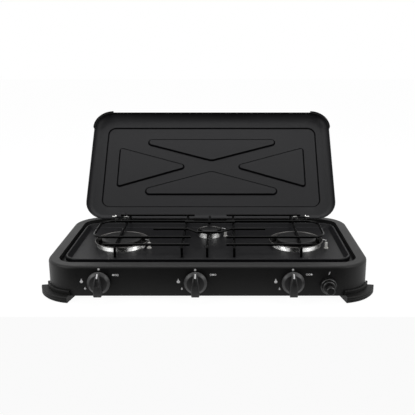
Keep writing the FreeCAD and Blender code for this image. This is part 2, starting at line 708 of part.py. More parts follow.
for burner in BURNERS:
    x = tap_x(burner)
    here = (x, panel_y, "spindle_height", TO_FRONT)
    saddle = place(block("saddle_width", "saddle_width", "saddle_width"), x, pipe_y,
                   f"{pipe_height} - saddle_width/2 + sheet_wall")
    pipe_bore = cylinder("manifold_radius", "2*saddle_width", f"{x} - saddle_width", pipe_y,
                         pipe_height, ALONG_X)
    tap = place(turned(tap_points), *here)
    finish(fuse(tap, cut(saddle, pipe_bore)), "tap_body_" + burner)
    finish(place(turned(injector_points), *here), "injector_" + burner)

    plug = cylinder("plug_radius", "plug_length", x, f"{panel_y} + plug_front + plug_length",
                    "spindle_height", TO_FRONT)
    slot = place(block("tongue_thick + 2*tongue_clearance", "3*plug_radius", "2*slot_length"),
                 x, f"{panel_y} + plug_front + slot_length", "spindle_height", TO_FRONT)
    finish(cut(plug, slot), "tap_plug_" + burner)

    shaft = place(turned(spindle_points), *here)
    tongue = place(block("tongue_thick", "tongue_width", "tongue_length + collar_length/2"),
                   x, f"{panel_y} - ({collar_back}) + tongue_length", "spindle_height", TO_FRONT)
    flat = place(block("4*shaft_radius", "2*shaft_radius", "2*flat_length"), x,
                 f"{panel_y} - shaft_out + flat_length",
                 "spindle_height + 2*shaft_radius - shaft_flat", TO_FRONT)
    finish(cut(fuse(shaft, tongue), flat), "spindle_" + burner)

    disc = turned(knob_points)
    dress(disc, "Fillet", "skirt_round",
          lambda edge: at_level(value("knob_gap + knob_skirt"))(edge))
    grip = block("grip_width", "2*(knob_radius + grip_over)", "knob_depth - knob_recess_depth",
                 "grip_width/2 - grip_over", "grip_round")
    place(disc, *here)
    place(grip, x, f"{panel_y} - knob_gap - knob_recess_depth", "spindle_height", TO_FRONT)
    round_bore = cylinder("shaft_radius + knob_fit", "2*shaft_out", x,
                          f"{panel_y} - shaft_out - knob_fit + 2*shaft_out", "spindle_height", TO_FRONT)
    key = place(block("4*shaft_radius", "2*shaft_radius", "3*flat_length"), x,
                f"{panel_y} - shaft_out + flat_length - knob_fit",
                "spindle_height + 2*shaft_radius - shaft_flat + knob_fit", TO_FRONT)
    finish(cut(fuse(disc, grip), cut(round_bore, key)), "knob_" + burner)

    nut = turned([("neck_radius", "0"), ("nut_radius", "0"), ("nut_radius", "nut_height"),
                  ("neck_radius", "nut_height")])
    nuts.append(place(nut, *here))
finish(fuse(*nuts), "tap_nuts")

# Supply pipe: along behind the panel, round an elbow and to the back wall, where the stub starts
pipe_end = f"({tap_x('right')} + manifold_end)"
pipe_route = [
    [value(x), value(y), value(pipe_height)]
    for x, y in ((pipe_end, pipe_y), ("-inlet_shift", pipe_y),
                 ("-inlet_shift", "body_depth/2 - sheet_wall - inlet_collar_length"))
]
elbow = value("elbow_radius")
pipe = rod(pipe_route, elbow, value("manifold_radius"))
solid_from(pipe.cut(rod(pipe_route, elbow, value("manifold_bore"))), "gas_manifold")
inlet_points = [
    ("inlet_bore", "-inlet_out"),
    ("inlet_radius", "-inlet_out"),
    ("inlet_radius", "0"),
    ("inlet_neck", "0"),
    ("inlet_neck", "sheet_wall"),
    ("inlet_collar", "sheet_wall"),
    ("inlet_collar", "sheet_wall + inlet_collar_length"),
    ("inlet_bore", "sheet_wall + inlet_collar_length"),
]
finish(place(turned(inlet_points), "-inlet_shift", "body_depth/2", pipe_height, TO_FRONT), "gas_inlet")

# Igniter: barrel with its neck, stepped ring nut, push button, and an electrode at each burner
at_igniter = (igniter_x, panel_y, "igniter_height", TO_FRONT)
plunger_bore = "plunger_radius + plunger_clearance"
finish(place(turned([
    (plunger_bore, "igniter_collar_height"),
    ("igniter_neck", "igniter_collar_height"),
    ("igniter_neck", "-sheet_wall"),
    ("igniter_radius", "-sheet_wall"),
    ("igniter_radius", "-igniter_length"),
    ("0", "-igniter_length"),
    ("0", "-igniter_bore_back"),
    (plunger_bore, "-igniter_bore_back"),
]), *at_igniter), "igniter_body")
finish(place(turned([
    ("igniter_neck", "0"),
    ("igniter_collar_radius", "0"),
    ("igniter_collar_radius", "igniter_collar_height - sheet_wall"),
    ("igniter_collar_radius - sheet_wall", "igniter_collar_height"),
    ("igniter_step_radius", "igniter_collar_height"),
    ("igniter_step_radius", "igniter_step_height - sheet_wall"),
    ("igniter_step_radius - sheet_wall", "igniter_step_height"),
    ("plunger_radius + 4*plunger_clearance", "igniter_step_height"),
    ("plunger_radius + 4*plunger_clearance", "igniter_collar_height"),
    ("igniter_neck", "igniter_collar_height"),
]), *at_igniter), "igniter_collar")
finish(place(turned([
    ("0", "-plunger_back"),
    ("plunger_radius", "-plunger_back"),
    ("plunger_radius", "button_front - button_head"),
    ("button_radius", "button_front - button_head"),
    ("button_radius", "button_front - sheet_wall"),
    ("button_radius - sheet_wall", "button_front"),
    ("0", "button_front"),
]), *at_igniter), "igniter_button")

ceramic_top = f"({tray_floor} + ceramic_height)"
lead_start = value(f"{panel_y} + igniter_length")
lead_turn = lead_start + value("lead_run")
lead_level = value("lead_height")
for order, burner in enumerate(BURNERS, start=-1):
    x, y = electrode_place(burner)
    ceramic = turned([
        ("tip_radius", f"{tray_floor} - ceramic_drop"),
        ("ceramic_radius", f"{tray_floor} - ceramic_drop"),
        ("ceramic_radius", tray_floor),
        ("ceramic_collar", tray_floor),
        ("ceramic_collar", f"{tray_floor} + ceramic_collar_height"),
        ("ceramic_radius", f"{tray_floor} + ceramic_collar_height"),
        ("ceramic_radius", f"{ceramic_top} - tip_radius"),
        ("ceramic_radius - tip_radius", ceramic_top),
        ("tip_radius", ceramic_top),
    ])
    finish(place(ceramic, x, y), "electrode_" + burner)
    wire = cylinder("tip_radius", f"ceramic_drop + ceramic_height + tip_height", x, y,
                    f"{tray_floor} - ceramic_drop")
    spark = cylinder("tip_radius", "tip_reach", x, y, f"{ceramic_top} + tip_height - tip_radius",
                     (Vector(0, 1, 0), -75))
    finish(fuse(wire, spark), "electrode_tip_" + burner)
    start_x = value(igniter_x) + order * value("lead_spread")
    lead = rod([
        (start_x, lead_start, value("igniter_height")),
        (start_x, lead_turn, value("igniter_height")),
        (start_x, lead_turn, lead_level),
        (value(x), value(y), lead_level),
        (value(x), value(y), value(f"{tray_floor} - ceramic_drop")),
    ], value("lead_bend"), value("lead_radius"))
    solid_from(lead, "ignition_lead_" + burner)

# Pan support: a grid of round wires, the cross wires saddled where they are welded under the
# top ones, standing on the tray
wire_level = value("rim_height + support_height")
cross_level = wire_level - value("cross_drop")
wire_radius = value("wire_radius")


def wire(points, bend=0.0):
    return rod(points, bend, wire_radius)


def cross_wire(x, front, back, *feet):
    """A wire from front to back, bent down to a foot at each end that is named."""
    points = [(x, front, cross_level), (x, back, cross_level)]
    if "front" in feet:
        points.insert(0, (x, front, foot_level))
    if "back" in feet:
        points.append((x, back, foot_level))
    return wire(points, value("leg_bend"))


front_y = value("wire_front_y")
back_y = value("wire_back_y")
leg_front = front_y - value("leg_outset")
leg_back = back_y + value("leg_outset")
foot_level = value(f"{tray_floor} + leg_clearance")
top_wires = []
cross_wires = []
for side in SIDES.values():
    for y in (front_y, back_y):
        top_wires.append(wire([(side * value("wire_inner"), y, wire_level),
                               (side * value("wire_outer"), y, wire_level)]))
    top_wires.append(wire([
        (side * value("wire_inner"), value("loop_front_y"), wire_level),
        (side * value("loop_outer"), value("loop_front_y"), wire_level),
        (side * value("loop_outer"), value("loop_back_y"), wire_level),
        (side * value("wire_inner"), value("loop_back_y"), wire_level),
    ], value("loop_bend")))
    for x in (value("leg_outer"), value("leg_inner")):
        cross_wires.append(cross_wire(side * x, leg_front, leg_back, "front", "back"))
jog_y = value("jog_y")
jog_front = value("jog_front_y")
top_wires.append(wire([
    (-value("jog_half"), jog_y, wire_level),
    (-value("jog_ramp"), jog_y, wire_level),
    (-value("jog_flat"), jog_front, wire_level),
    (value("jog_flat"), jog_front, wire_level),
    (value("jog_ramp"), jog_y, wire_level),
    (value("jog_half"), jog_y, wire_level),
], value("leg_bend")))
bridge_y = value("bridge_y")
top_wires.append(wire([(-value("bridge_half"), bridge_y, wire_level),
                       (value("bridge_half"), bridge_y, wire_level)]))
finger_x = value("finger_shift")
cross_wires.append(cross_wire(finger_x, leg_front, jog_front, "front"))
cross_wires.append(cross_wire(finger_x, bridge_y, leg_back, "back"))
saddled = [solid for lower in cross_wires for solid in lower.cut(top_wires).Solids]
solid_from(Part.Compound(top_wires + saddled), "pan_support")

# Lid: drawn closed round its hinge axis, forward along -Y, then opened
hinge_y = "(body_depth/2 - hinge_setback)"
hinge_z = "(rim_height + hinge_height)"
lid_inner = "(lid_depth - lid_below - lid_sheet)"
lid_middle = "(lid_rear - lid_front)/2"


def on_lid(item, name):
    place(item, "0", hinge_y, hinge_z, (Vector(1, 0, 0), "-lid_open"))
    return finish(item, name)


def lid_block(wide, deep, tall, corner, level, middle, **edges):
    return place(block(wide, deep, tall, corner, **edges), y=middle, z=level)


def rib(corners, level, tall, inset=0.0):
    """A three-cornered prism with rounded upright edges, set in from its corners by an inset."""
    points = [Vector(x, y, level) for x, y in corners]
    sides = [(points[(i + 1) % 3] - points[(i + 2) % 3]).Length for i in range(3)]
    incentre = sum((point * side for point, side in zip(points, sides)), Vector()) * (1 / sum(sides))
    area = (points[1] - points[0]).cross(points[2] - points[0]).Length / 2
    scale = 1 - inset * sum(sides) / (2 * area)
    points = [incentre + (point - incentre) * scale for point in points]
    solid = Part.Face(Part.makePolygon(points + points[:1])).extrude(Vector(0, 0, tall))
    upright = [edge for edge in solid.Edges if is_vertical(edge)]
    item = doc.addObject("Part::Feature", "rib")
    item.Shape = solid.makeFillet(max(value("rib_round") - inset, inset), upright)
    return item


lid_shell = cut(
    lid_block("lid_width", "lid_front + lid_rear", "lid_depth", "lid_corner", "-lid_below",
              lid_middle, top="lid_round"),
    lid_block("lid_width - 2*lid_sheet", "lid_front + lid_rear - 2*lid_sheet",
              "lid_depth - lid_sheet", "lid_corner - lid_sheet", "-lid_below", lid_middle,
              top="lid_round - lid_sheet"))
panel_wide = "(lid_width - 2*panel_side)"
panel_deep = "(lid_front + lid_rear - panel_front - panel_rear)"
panel_middle = "(lid_rear - lid_front + panel_front - panel_rear)/2"
panel_pad = lid_block(panel_wide, panel_deep, "panel_step + lid_sheet", "panel_corner",
                      lid_inner, panel_middle)
panel_room = lid_block(f"{panel_wide} - 2*lid_sheet", f"{panel_deep} - 2*lid_sheet",
                       "panel_step + lid_sheet", "panel_corner - lid_sheet",
                       f"{lid_inner} - lid_sheet", panel_middle)
long_half = value("long_rib_half")
side_out = value("side_rib_out")
side_tip = value("side_rib_tip")
side_corners = (value("side_rib_top"), value("side_rib_bottom"))
side_middle = sum(side_corners) / 2
TRIANGLES = [
    [(-long_half, -value("long_rib_top")), (long_half, -value("long_rib_top")),
     (0, -value("long_rib_tip"))],
    [(-long_half, -value("rear_rib_base")), (long_half, -value("rear_rib_base")),
     (0, -value("rear_rib_tip"))],
]
for side in SIDES.values():
    TRIANGLES.append([(side * side_out, -side_corners[0]), (side * side_out, -side_corners[1]),
                      (side * side_tip, -side_middle)])
panel_inside = value(f"{lid_inner} + panel_step")
lid_sheet = value("lid_sheet")
rib_bottom = panel_inside - value("rib_step")
raised = [rib(corners, rib_bottom, value("rib_step") + lid_sheet / 2) for corners in TRIANGLES]
pressed = [rib(corners, rib_bottom + lid_sheet, 2 * value("rib_step"), lid_sheet)
           for corners in TRIANGLES]
rear_trim = lid_block("2*lid_width", "2*lid_rear + lid_rear_edge", "lid_below", None,
                      "-lid_below - lid_rear_edge", "lid_rear")
notches = [place(block("notch_width", "2*lid_rear + lid_rear_edge", "notch_height + lid_below"),
                 f"{side}*hinge_x", "lid_rear", "-lid_below") for side in SIDES.values()]
on_lid(cut(fuse(cut(fuse(lid_shell, panel_pad), panel_room), *raised), *pressed, rear_trim, *notches),
       "lid_panel")

cap_bottom = "(-lid_below - lid_cap_under)"
cap_tall = "(lid_cap_under + lid_cap_rise)"
for name, side in SIDES.items():
    spot = (f"{side}*(lid_width/2 - lid_corner)", "lid_corner - lid_front")
    quarter = (Vector(0, 0, 1), 180 if side < 0 else 270)
    outer = cylinder("lid_corner + lid_cap_over", cap_tall, *spot, cap_bottom, quarter, 90)
    bore = cylinder("lid_corner - lid_cap_inside", f"3*{cap_tall}", *spot, f"{cap_bottom} - {cap_tall}")
    skin = cylinder("lid_corner + lid_cap_fit", f"2*{cap_tall}", *spot, "-lid_below - lid_cap_fit")
    on_lid(cut(outer, bore, skin), "lid_cap_" + name)

# Hinges: a bracket in the groove with two ears, a pin, and a knuckle with its leaf under the lid
leaf_level = f"({lid_inner} - leaf_gap)"
leaf_points = [
    ("-leaf_thick", "knuckle_radius - leaf_thick/2"),
    ("-(lid_round - lid_rear + 2*leaf_thick)", leaf_level),
    ("-leaf_length", leaf_level),
    ("-leaf_length", f"{leaf_level} - leaf_thick"),
    ("-(lid_round - lid_rear + 3*leaf_thick)", f"{leaf_level} - leaf_thick"),
    ("-knuckle_radius/2 - leaf_thick", "leaf_thick"),
]
ear_offset = "(knuckle_length/2 + ear_gap)"
for name, side in SIDES.items():
    x = f"{side}*hinge_x"
    knuckle = cylinder("knuckle_radius", "knuckle_length", f"{x} - knuckle_length/2", 0, 0, ALONG_X)
    leaf = place(pulled(leaf_points, "knuckle_length"), x)
    bore = cylinder("pin_radius + pin_clearance", "2*knuckle_length", f"{x} - knuckle_length",
                    0, 0, ALONG_X)
    on_lid(cut(fuse(knuckle, leaf), bore), "hinge_leaf_" + name)
    finish(cylinder("pin_radius", "pin_length", f"{x} - pin_length/2", hinge_y, hinge_z, ALONG_X),
           "hinge_pin_" + name)
    ears = []
    for end in (-1, 1):
        ear_x = f"{x} + {end}*({ear_offset} + ear_thick/2)"
        ears.append(cylinder("ear_radius", "ear_thick", f"{ear_x} - ear_thick/2", hinge_y, hinge_z,
                             ALONG_X))
        ears.append(place(block("ear_thick", "2*ear_radius", "hinge_height - leaf_gap"),
                          ear_x, hinge_y, "rim_height + leaf_gap"))
    plate = place(block(f"2*({ear_offset} + ear_thick)", "bracket_thick",
                        "bracket_drop + 1.5*sheet_wall"),
                  x, "body_depth/2 - rim_back - bracket_thick/2 - leaf_gap",
                  "rim_height - bracket_drop")
    hole = cylinder("pin_radius", "2*pin_length", f"{x} - pin_length", hinge_y, hinge_z, ALONG_X)
    finish(cut(fuse(plate, *ears), hole), "hinge_bracket_" + name)

# Check every object, then write each sub-part
doc.recompute()
for item in doc.Objects:
    if any(word in item.State for word in ("Invalid", "Error")):
        raise RuntimeError(f"{item.Label} ({item.Name}) failed: {item.State}")
os.makedirs("parts", exist_ok=True)
for item in finished:
    shape = item.Shape
    if shape.isNull() or not shape.isValid() or not shape.Solids:
        raise RuntimeError(f"{item.Label} has no valid solid")
    shape.exportStep(f"parts/{item.Label}.step")
    print(f"{item.Label}: {len(shape.Solids)} solid, {shape.Volume / 1000:.2f} cm3")
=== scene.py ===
# %% [markdown]
# # A table-top gas stove with its lid open
# The stove is a black powder-coated steel case with three burners, a wire pan support and a pressed
# lid.  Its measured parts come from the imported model.  This notebook gives them their finishes and
# adds the pieces that show how they were made: soft pressings, rolled edges, prints and welds.

import json
import math

import bmesh
import bpy
from mathutils import Matrix, Vector


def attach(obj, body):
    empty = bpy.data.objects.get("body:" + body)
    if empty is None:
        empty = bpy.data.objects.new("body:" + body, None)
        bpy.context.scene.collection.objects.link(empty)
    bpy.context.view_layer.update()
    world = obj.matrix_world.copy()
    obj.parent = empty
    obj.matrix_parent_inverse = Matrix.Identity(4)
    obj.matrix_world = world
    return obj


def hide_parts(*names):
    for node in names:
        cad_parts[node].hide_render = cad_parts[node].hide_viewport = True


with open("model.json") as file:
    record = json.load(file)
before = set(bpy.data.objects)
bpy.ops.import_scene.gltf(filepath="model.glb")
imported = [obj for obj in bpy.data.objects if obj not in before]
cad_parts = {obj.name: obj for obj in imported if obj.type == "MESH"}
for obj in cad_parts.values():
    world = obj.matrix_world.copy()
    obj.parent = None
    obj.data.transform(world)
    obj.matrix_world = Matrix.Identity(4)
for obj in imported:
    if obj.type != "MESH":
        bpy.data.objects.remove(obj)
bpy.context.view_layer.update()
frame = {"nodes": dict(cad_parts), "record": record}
MM = 0.001
BURNERS = {"left": (-165, -7), "centre": (0, 50), "right": (165, -7)}
print("stove loaded:", len(frame["nodes"]), "parts")

# %% [markdown]
# ## The camera
# The picture was taken from a little above the lid, a bit right of the middle.  A long lens keeps
# the far rim nearly as wide as the near one.  The sideways shift places the stove in the square
# frame without turning the camera, so upright edges stay upright.

# %% Camera
camera_data = bpy.data.cameras.new("camera")
camera_data.sensor_width = 36
camera_data.lens = 54.9
camera_data.shift_x = -0.0434
camera = bpy.data.objects.new("camera", camera_data)
camera.location = (0.0313, -1.1546, 0.4294)
camera.rotation_euler = (math.radians(75.1), 0, 0)
bpy.context.scene.collection.objects.link(camera)
bpy.context.scene.camera = camera
bpy.context.scene.view_settings.view_transform = "Standard"

# %% [markdown]
# ## The studio
# A black object shows little of its own colour, so its look is mostly what it mirrors.  The room
# is white above and behind.  In front hangs a black card, as a photographer would place one, which
# keeps the front panel dark and puts a dark middle in the bright burner cups.

# %% Room
def seen_rays(tree):
    """One where a ray comes from the camera, a mirror or clear glass, and nought elsewhere."""
    path = tree.nodes.new("ShaderNodeLightPath")
    seen = path.outputs["Is Camera Ray"]
    for kind in ("Is Glossy Ray", "Is Transmission Ray"):
        larger = tree.nodes.new("ShaderNodeMath")
        larger.operation = "MAXIMUM"
        tree.links.new(seen, larger.inputs[0])
        tree.links.new(path.outputs[kind], larger.inputs[1])
        seen = larger.outputs[0]
    return seen


ROOM_STRENGTH = 0.45
world = bpy.data.worlds.new("white room")
bpy.context.scene.world = world
world.use_nodes = True
room = world.node_tree
room.nodes.clear()
room_out = room.nodes.new("ShaderNodeOutputWorld")
room_mix = room.nodes.new("ShaderNodeMixShader")
room_light = room.nodes.new("ShaderNodeBackground")
room_light.inputs["Strength"].default_value = ROOM_STRENGTH
room_seen = room.nodes.new("ShaderNodeBackground")
room_seen.inputs["Color"].default_value = (1, 1, 1, 1)
room.links.new(seen_rays(room), room_mix.inputs[0])
room.links.new(room_light.outputs[0], room_mix.inputs[1])
room.links.new(room_seen.outputs[0], room_mix.inputs[2])
room.links.new(room_mix.outputs[0], room_out.inputs["Surface"])


# %% Cards and floor
def flat_card(name, size, place, turn, colour):
    """A flat matt sheet in the studio, with the name it is given."""
    bm = bmesh.new()
    bmesh.ops.create_grid(bm, x_segments=1, y_segments=1, size=0.5)
    bmesh.ops.scale(bm, vec=(size[0], size[1], 1), verts=bm.verts)
    mesh = bpy.data.meshes.new(name)
    bm.to_mesh(mesh)
    bm.free()
    card = bpy.data.objects.new(name, mesh)
    card.location = place
    card.rotation_euler = turn
    bpy.context.scene.collection.objects.link(card)
    paint = bpy.data.materials.new(name)
    paint.use_nodes = True
    shader = paint.node_tree.nodes["Principled BSDF"]
    shader.inputs["Base Color"].default_value = (*colour, 1)
    shader.inputs["Roughness"].default_value = 0.9
    shader.inputs["Specular IOR Level"].default_value = 0.1
    mesh.materials.append(paint)
    return card


floor = flat_card("floor", (12, 12), (0, 0, 0), (0, 0, 0), (0.88, 0.88, 0.88))
front_card = flat_card("front card", (1.7, 1.5), (0, -1.5, 0.75), (math.radians(90), 0, 0),
                       (0.01, 0.01, 0.01))
floor_card = flat_card("floor card", (1.5, 1.2), (0, -0.82, 0.002), (0, 0, 0), (0.01, 0.01, 0.01))
for card in (front_card, floor_card):
    card.visible_camera = False

GLOW_SHARE = 0.9
GLOW_STRENGTH = 1.06
floor_paint = floor.data.materials[0].node_tree
glow = floor_paint.nodes.new("ShaderNodeEmission")
glow.inputs["Strength"].default_value = GLOW_STRENGTH
floor_mix = floor_paint.nodes.new("ShaderNodeMixShader")
share = floor_paint.nodes.new("ShaderNodeMath")
share.operation = "MULTIPLY"
share.inputs[1].default_value = GLOW_SHARE
floor_paint.links.new(seen_rays(floor_paint), share.inputs[0])
floor_paint.links.new(share.outputs[0], floor_mix.inputs[0])
floor_paint.links.new(floor_paint.nodes["Principled BSDF"].outputs[0], floor_mix.inputs[1])
floor_paint.links.new(glow.outputs[0], floor_mix.inputs[2])
floor_paint.links.new(floor_mix.outputs[0], floor_paint.nodes["Material Output"].inputs["Surface"])


# %% Lamps
def soft_lamp(name, size, power, place, aim):
    """A square soft box that looks at a point."""
    data = bpy.data.lights.new(name, "AREA")
    data.shape = "RECTANGLE"
    data.size, data.size_y = size
    data.energy = power
    lamp = bpy.data.objects.new(name, data)
    lamp.location = place
    lamp.rotation_euler = (Vector(aim) - Vector(place)).to_track_quat("-Z", "Y").to_euler()
    bpy.context.scene.collection.objects.link(lamp)
    return lamp


soft_lamp("top box", (1.6, 0.8), 9, (0, 0.35, 1.5), (0, 0, 0.05))
soft_lamp("left box", (0.7, 0.9), 7, (-1.3, -0.7, 0.9), (0, 0, 0.05))
soft_lamp("right box", (0.7, 0.9), 7, (1.3, -0.7, 0.9), (0, 0, 0.05))

# %% [markdown]
# ## Finishes
# Powder coat, enamel and moulded plastic all have a fine grain with small changes of tone and
# gloss.  One node group makes that grain, and each material sets its size and depth.


# %% Grain group
def add_socket(group, name, way, kind, value=None):
    socket = group.interface.new_socket(name=name, in_out=way, socket_type=kind)
    if value is not None:
        socket.default_value = value
    return socket


def make_grain():
    """A group that turns a colour and a roughness into ones that vary over a grained surface."""
    group = bpy.data.node_groups.new("surface grain", "ShaderNodeTree")
    add_socket(group, "Color", "INPUT", "NodeSocketColor", (0.5, 0.5, 0.5, 1))
    add_socket(group, "Roughness", "INPUT", "NodeSocketFloat", 0.5)
    add_socket(group, "Grain Scale", "INPUT", "NodeSocketFloat", 900)
    add_socket(group, "Relief", "INPUT", "NodeSocketFloat", 0.1)
    add_socket(group, "Mottle", "INPUT", "NodeSocketFloat", 0.1)
    add_socket(group, "Mottle Scale", "INPUT", "NodeSocketFloat", 14)
    add_socket(group, "Color", "OUTPUT", "NodeSocketColor")
    add_socket(group, "Roughness", "OUTPUT", "NodeSocketFloat")
    add_socket(group, "Normal", "OUTPUT", "NodeSocketVector")
    nodes, links = group.nodes, group.links
    taken = nodes.new("NodeGroupInput")
    given = nodes.new("NodeGroupOutput")
    where = nodes.new("ShaderNodeTexCoord")
    grain = nodes.new("ShaderNodeTexNoise")
    grain.inputs["Detail"].default_value = 3
    patches = nodes.new("ShaderNodeTexNoise")
    patches.inputs["Detail"].default_value = 4
    for noise, scale in ((grain, "Grain Scale"), (patches, "Mottle Scale")):
        links.new(where.outputs["Object"], noise.inputs["Vector"])
        links.new(taken.outputs[scale], noise.inputs["Scale"])
    bump = nodes.new("ShaderNodeBump")
    bump.inputs["Distance"].default_value = 0.0003
    links.new(taken.outputs["Relief"], bump.inputs["Strength"])
    links.new(grain.outputs["Fac"], bump.inputs["Height"])
    links.new(bump.outputs[0], given.inputs["Normal"])
    both = nodes.new("ShaderNodeMath")
    both.operation = "ADD"
    links.new(grain.outputs["Fac"], both.inputs[0])
    links.new(patches.outputs["Fac"], both.inputs[1])
    centred = nodes.new("ShaderNodeMath")
    centred.operation = "SUBTRACT"
    links.new(both.outputs[0], centred.inputs[0])
    centred.inputs[1].default_value = 1
    swing = nodes.new("ShaderNodeMath")
    swing.operation = "MULTIPLY"
    links.new(centred.outputs[0], swing.inputs[0])
    links.new(taken.outputs["Mottle"], swing.inputs[1])
    bright = nodes.new("ShaderNodeMath")
    bright.operation = "ADD"
    links.new(swing.outputs[0], bright.inputs[0])
    bright.inputs[1].default_value = 1
    tone = nodes.new("ShaderNodeVectorMath")
    tone.operation = "SCALE"
    links.new(taken.outputs["Color"], tone.inputs[0])
    links.new(bright.outputs[0], tone.inputs["Scale"])
    links.new(tone.outputs[0], given.inputs["Color"])
    gloss = nodes.new("ShaderNodeMath")
    gloss.operation = "MULTIPLY_ADD"
    links.new(swing.outputs[0], gloss.inputs[0])
    gloss.inputs[1].default_value = 0.4
    links.new(taken.outputs["Roughness"], gloss.inputs[2])
    links.new(gloss.outputs[0], given.inputs["Roughness"])
    return group


GRAIN = make_grain()


# %% Grained materials
def grained(name, colour, roughness, scale=900, relief=0.1, mottle=0.1, spread=14, **sockets):
    """A material whose colour, gloss and normal come from the grain group."""
    material = bpy.data.materials.new(name)
    material.use_nodes = True
    tree = material.node_tree
    shader = tree.nodes["Principled BSDF"]
    grain = tree.nodes.new("ShaderNodeGroup")
    grain.node_tree = GRAIN
    grain.inputs["Color"].default_value = (*colour, 1)
    grain.inputs["Roughness"].default_value = roughness
    grain.inputs["Grain Scale"].default_value = scale
    grain.inputs["Relief"].default_value = relief
    grain.inputs["Mottle"].default_value = mottle
    grain.inputs["Mottle Scale"].default_value = spread
    tree.links.new(grain.outputs["Color"], shader.inputs["Base Color"])
    tree.links.new(grain.outputs["Roughness"], shader.inputs["Roughness"])
    tree.links.new(grain.outputs["Normal"], shader.inputs["Normal"])
    for socket, value in sockets.items():
        shader.inputs[socket.replace("_", " ")].default_value = value
    return material


lid_coat = grained("lid powder coat", (0.0125, 0.0125, 0.0138), 0.5, 1100, 0.16, 0.5, 9,
                   Specular_IOR_Level=0.2)
# Painted shade: a darker, duller copy of the lid coat, laid on the walls of the lid's creases and ribs.
crease_shade_coat = grained("painted shade in the lid creases", (0.002, 0.002, 0.0024), 0.6, 1100, 0.16, 0.5, 9,
                      Specular_IOR_Level=0.03)
body_coat = grained("body powder coat", (0.0085, 0.0085, 0.0085), 0.48, 1100, 0.2, 0.5, 12,
                    Specular_IOR_Level=0.22)
tray_enamel = grained("tray enamel", (0.004, 0.004, 0.0048), 0.42, 700, 0.07, 0.4, 10,
                      Specular_IOR_Level=0.14)
wire_enamel = grained("support enamel", (0.001, 0.001, 0.0011), 0.1, 500, 0.05, 0.3, 30,
                      Specular_IOR_Level=0.1)
cap_enamel = grained("cap enamel", (0.004, 0.004, 0.0043), 0.4, 800, 0.08, 0.3, 40,
                     Specular_IOR_Level=0.25)
foot_rubber = grained("foot rubber", (0.007, 0.007, 0.0067), 0.55, 900, 0.15, 0.3, 40,
                      Specular_IOR_Level=0.2)
cap_rubber = grained("lid cap rubber", (0.0022, 0.0022, 0.0022), 0.6, 900, 0.15, 0.3, 40,
                     Specular_IOR_Level=0.08)
knob_plastic = grained("knob plastic", (0.034, 0.034, 0.0345), 0.38, 1500, 0.08, 0.2, 60,
                       Specular_IOR_Level=0.4)
igniter_plastic = grained("igniter plastic", (0.008, 0.008, 0.008), 0.35, 1500, 0.08, 0.2, 60)
burner_alloy = grained("burner alloy", (0.07, 0.068, 0.066), 0.5, 1300, 0.25, 0.3, 60, Metallic=1)
# A darker steel for the rolled rims of the burner cups.
dark_rim_steel = grained("dark rim steel", (0.16, 0.155, 0.15), 0.32, 1500, 0.15, 0.3, 60, Metallic=1)
tap_alloy = grained("tap alloy", (0.55, 0.55, 0.56), 0.38, 900, 0.2, 0.3, 60, Metallic=1)
turned_brass = grained("turned brass", (0.72, 0.53, 0.24), 0.28, 700, 0.1, 0.25, 70, Metallic=1)
pipe_steel = grained("pipe steel", (0.5, 0.5, 0.5), 0.3, 600, 0.1, 0.3, 50, Metallic=1)
zinc_plate = grained("zinc plate", (0.8, 0.8, 0.78), 0.25, 600, 0.1, 0.15, 80, Metallic=1)
glazed_ceramic = grained("glazed ceramic", (0.8, 0.79, 0.76), 0.18, 500, 0.04, 0.05, 60)
silicone = grained("silicone sleeve", (0.5, 0.48, 0.43), 0.6, 900, 0.1, 0.15, 50)
white_print = grained("white print", (0.93, 0.93, 0.93), 0.5, 1200, 0.05, 0.05, 80)
print("grained materials:", len(bpy.data.materials))


# %% [markdown]
# The burner cups are spun steel, polished round and round on a lathe.  The marks follow the circle,
# so the pattern reads only the distance from the burner's middle and the height, not the angle.


